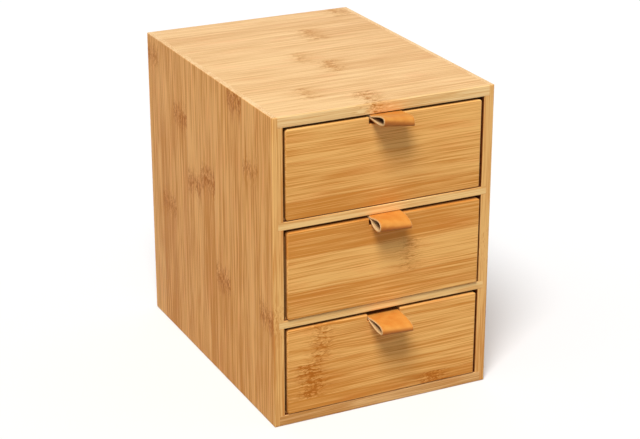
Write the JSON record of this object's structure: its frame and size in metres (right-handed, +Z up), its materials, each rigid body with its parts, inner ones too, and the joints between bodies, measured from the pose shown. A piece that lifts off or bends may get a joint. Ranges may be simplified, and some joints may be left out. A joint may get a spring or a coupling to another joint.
{
  "type": "desktop drawer chest",
  "caption": "Small bamboo desktop chest: an open-fronted case with shelves and inset drawers that slide out by leather loops set in notches.",
  "frame": {"origin": "centre of the flat underside that the chest stands on", "axes": "+Z up, the drawers open towards -Y, +X is the right-hand side seen from the front"},
  "size_m": [0.13, 0.1921, 0.175],
  "materials": {
    "case_bamboo": "satin lacquer on strip bamboo",
    "front_bamboo": "satin lacquer on strip bamboo",
    "box_bamboo": "plain sanded bamboo",
    "thin_board": "plain sanded thin board",
    "leather": "smooth orange tan with pale cut edges",
    "staple_steel": "plain wire"
  },
  "bodies": {
    "case": {"left_side": "case_bamboo", "right_side": "case_bamboo", "top_board": "case_bamboo", "bottom_board": "case_bamboo", "upper_shelf": "case_bamboo", "lower_shelf": "case_bamboo", "back_board": "thin_board"},
    "upper_drawer": {"upper_front": "front_bamboo", "upper_left": "box_bamboo", "upper_right": "box_bamboo", "upper_back": "box_bamboo", "upper_bottom": "thin_board", "upper_strap": "leather", "upper_staples": "staple_steel"},
    "middle_drawer": {"middle_front": "front_bamboo", "middle_left": "box_bamboo", "middle_right": "box_bamboo", "middle_back": "box_bamboo", "middle_bottom": "thin_board", "middle_strap": "leather", "middle_staples": "staple_steel"},
    "lower_drawer": {"lower_front": "front_bamboo", "lower_left": "box_bamboo", "lower_right": "box_bamboo", "lower_back": "box_bamboo", "lower_bottom": "thin_board", "lower_strap": "leather", "lower_staples": "staple_steel"}
  },
  "joints": [
    {"name": "upper_slide", "type": "slide", "parent": "case", "child": "upper_drawer", "axis": [0, -1, 0], "range_m": [0, 0.14]},
    {"name": "middle_slide", "type": "slide", "parent": "case", "child": "middle_drawer", "axis": [0, -1, 0], "range_m": [-0.0012, 0.14]},
    {"name": "lower_slide", "type": "slide", "parent": "case", "child": "lower_drawer", "axis": [0, -1, 0], "range_m": [-0.0005, 0.14]}
  ]
}
